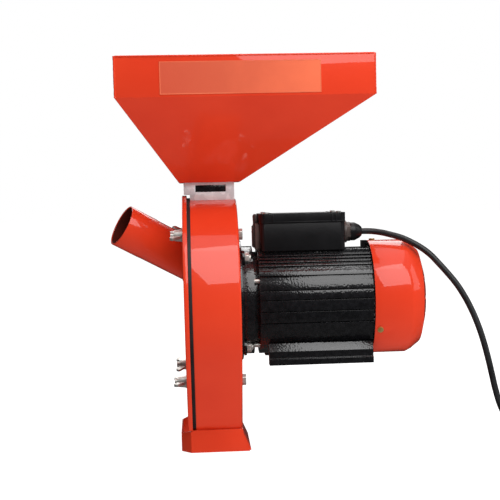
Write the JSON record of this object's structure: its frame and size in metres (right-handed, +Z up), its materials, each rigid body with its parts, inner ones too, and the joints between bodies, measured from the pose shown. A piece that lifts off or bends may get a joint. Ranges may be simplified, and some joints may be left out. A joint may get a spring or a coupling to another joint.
{
  "type": "hammer mill",
  "caption": "Electric hammer mill: a tapered hopper above a flat drum housing with a slanted inlet tube and a flared outlet, driven by a ribbed foot-mounted motor.",
  "frame": {"origin": "middle of the motor foot, on the flat underside of its two rails, at the centre of the four bolt holes", "axes": "+X along the shaft from the mill towards the fan, +Z up, +Y to the side away from the inlet tube"},
  "size_m": [0.6827, 0.29, 0.517],
  "materials": {
    "orange_paint": "gloss powder coat",
    "panel_film": "satin film",
    "galvanised": "galvanised",
    "zinc": "zinc plated",
    "steel": "bare steel",
    "black_paint": "orange-peel gloss",
    "black_aluminium": "black paint on aluminium",
    "black_plastic": "fine texture",
    "grey_plastic": "satin",
    "boot_plastic": "satin",
    "rubber": "matte",
    "cord_pvc": "satin",
    "copper": "enamelled wire",
    "laminations": "stacked laminations",
    "white_plastic": "gloss",
    "brass_screw": "yellow zinc"
  },
  "bodies": {
    "root": {"hopper": "orange_paint", "hopper_panel": "panel_film", "hopper_screws": "zinc", "feed_neck": "galvanised", "mill_housing": "orange_paint", "outlet_skirt": "orange_paint", "cover_gasket": "rubber", "sieve": "steel", "sieve_ring": "steel", "through_bolts": "zinc", "adapter_flange": "black_paint", "motor_bolts": "zinc", "front_shield": "black_aluminium", "stator_housing": "black_aluminium", "stator_core": "laminations", "stator_windings": "copper", "rear_shield": "black_aluminium", "tie_bolts": "zinc", "fan_cowl": "orange_paint", "cowl_screws": "brass_screw", "front_bearing": "steel", "rear_bearing": "steel", "shaft_seal": "rubber", "box_base": "black_plastic", "box_lid": "black_plastic", "lid_screws": "zinc", "capacitors": "white_plastic", "terminal_block": "white_plastic", "switch_frame": "grey_plastic", "cable_gland": "boot_plastic", "gland_nut": "black_plastic", "power_cord": "cord_pvc", "cord_coil": "cord_pvc", "coil_tie": "boot_plastic", "mains_plug": "rubber"},
    "gate": {"slide_gate": "black_paint"},
    "cover": {"front_cover": "orange_paint", "inlet_tube": "orange_paint", "cover_washers": "zinc"},
    "wing_nut_a": {"wing_nut_1": "zinc"},
    "wing_nut_b": {"wing_nut_2": "zinc"},
    "wing_nut_c": {"wing_nut_3": "zinc"},
    "wing_nut_d": {"wing_nut_4": "zinc"},
    "rotor": {"bearing_races": "steel", "motor_shaft": "steel", "rotor_core": "laminations", "cooling_fan": "black_plastic", "mill_hub": "steel", "shaft_key": "steel", "rotor_discs": "steel", "hammer_pins": "steel", "hammer_spacers": "zinc", "shaft_nut": "zinc"},
    "hammer_a": {"hammers_1": "steel"},
    "hammer_b": {"hammers_2": "steel"},
    "hammer_c": {"hammers_3": "steel"},
    "hammer_d": {"hammers_4": "steel"},
    "rocker": {"switch_rocker": "boot_plastic"}
  },
  "joints": [
    {"name": "rotor_spin", "type": "hinge", "parent": "root", "child": "rotor", "pos_m": [-0.145, 0, 0.084], "axis": [1, 0, 0], "continuous": true},
    {"name": "gate_slide", "type": "slide", "parent": "root", "child": "gate", "axis": [0, 1, 0], "range_m": [0, 0.045]},
    {"name": "cover_lift_off", "type": "slide", "parent": "root", "child": "cover", "axis": [-1, 0, 0], "range_m": [0, 0.12]},
    {"name": "rocker_press", "type": "hinge", "parent": "root", "child": "rocker", "pos_m": [-0.0815, 0, 0.188], "axis": [0, -1, 0], "range_deg": [0, 14]},
    {"name": "wing_nut_a_turn", "type": "hinge", "parent": "cover", "child": "wing_nut_a", "pos_m": [-0.188, -0.084, 0.177], "axis": [1, 0, 0], "continuous": true},
    {"name": "wing_nut_b_turn", "type": "hinge", "parent": "cover", "child": "wing_nut_b", "pos_m": [-0.188, -0.084, -0.014], "axis": [1, 0, 0], "continuous": true},
    {"name": "wing_nut_c_turn", "type": "hinge", "parent": "cover", "child": "wing_nut_c", "pos_m": [-0.188, 0.084, 0.177], "axis": [1, 0, 0], "continuous": true},
    {"name": "wing_nut_d_turn", "type": "hinge", "parent": "cover", "child": "wing_nut_d", "pos_m": [-0.188, 0.084, -0.014], "axis": [1, 0, 0], "continuous": true},
    {"name": "hammer_a_swing", "type": "hinge", "parent": "rotor", "child": "hammer_a", "pos_m": [-0.144, 0.04101, 0.12501], "axis": [1, 0, 0], "continuous": true},
    {"name": "hammer_b_swing", "type": "hinge", "parent": "rotor", "child": "hammer_b", "pos_m": [-0.144, -0.04101, 0.12501], "axis": [1, 0, 0], "continuous": true},
    {"name": "hammer_c_swing", "type": "hinge", "parent": "rotor", "child": "hammer_c", "pos_m": [-0.144, -0.04101, 0.04299], "axis": [1, 0, 0], "continuous": true},
    {"name": "hammer_d_swing", "type": "hinge", "parent": "rotor", "child": "hammer_d", "pos_m": [-0.144, 0.04101, 0.04299], "axis": [1, 0, 0], "continuous": true}
  ]
}
